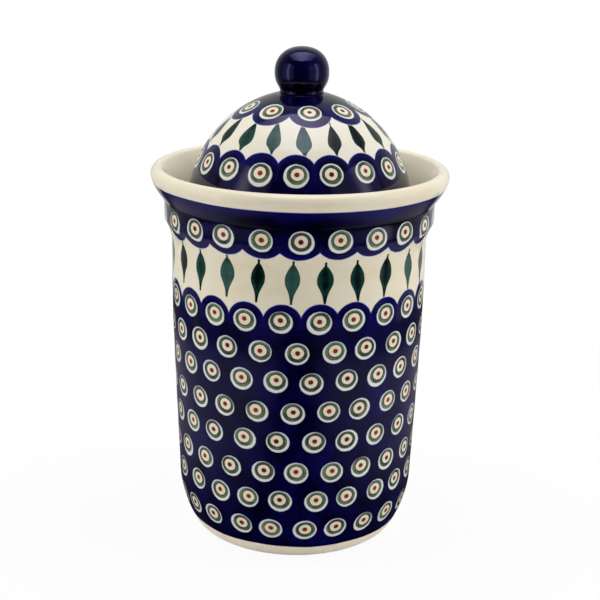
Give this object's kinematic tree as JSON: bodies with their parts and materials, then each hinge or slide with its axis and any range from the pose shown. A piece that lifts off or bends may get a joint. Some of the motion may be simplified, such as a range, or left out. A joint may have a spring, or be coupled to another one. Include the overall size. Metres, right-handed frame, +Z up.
{
  "type": "kitchen canister",
  "caption": "Tall glazed stoneware canister with a raised collar, a flared lip and a domed lid with a ball knob, which lifts out of the mouth.",
  "frame": {"origin": "centre of the foot ring, on the plane that the jar stands on", "axes": "+Z up along the turning axis, from the foot to the knob; +X to the right and +Y away from the viewer in the picture"},
  "size_m": [0.1648, 0.1648, 0.2758],
  "materials": {
    "jar_glaze": "glossy clear glaze over stamped cobalt, green and red decoration on cream stoneware, bare on the foot",
    "lid_glaze": "glossy clear glaze over stamped cobalt, green and red decoration on cream stoneware",
    "knob_glaze": "glossy cobalt glaze"
  },
  "bodies": {
    "jar": {"jar_body": "jar_glaze"},
    "lid": {"lid_dome": "lid_glaze", "lid_knob": "knob_glaze"}
  },
  "joints": [
    {"name": "lid_lift", "type": "slide", "parent": "jar", "child": "lid", "axis": [0, 0, 1], "range_m": [0, 0.12]}
  ]
}
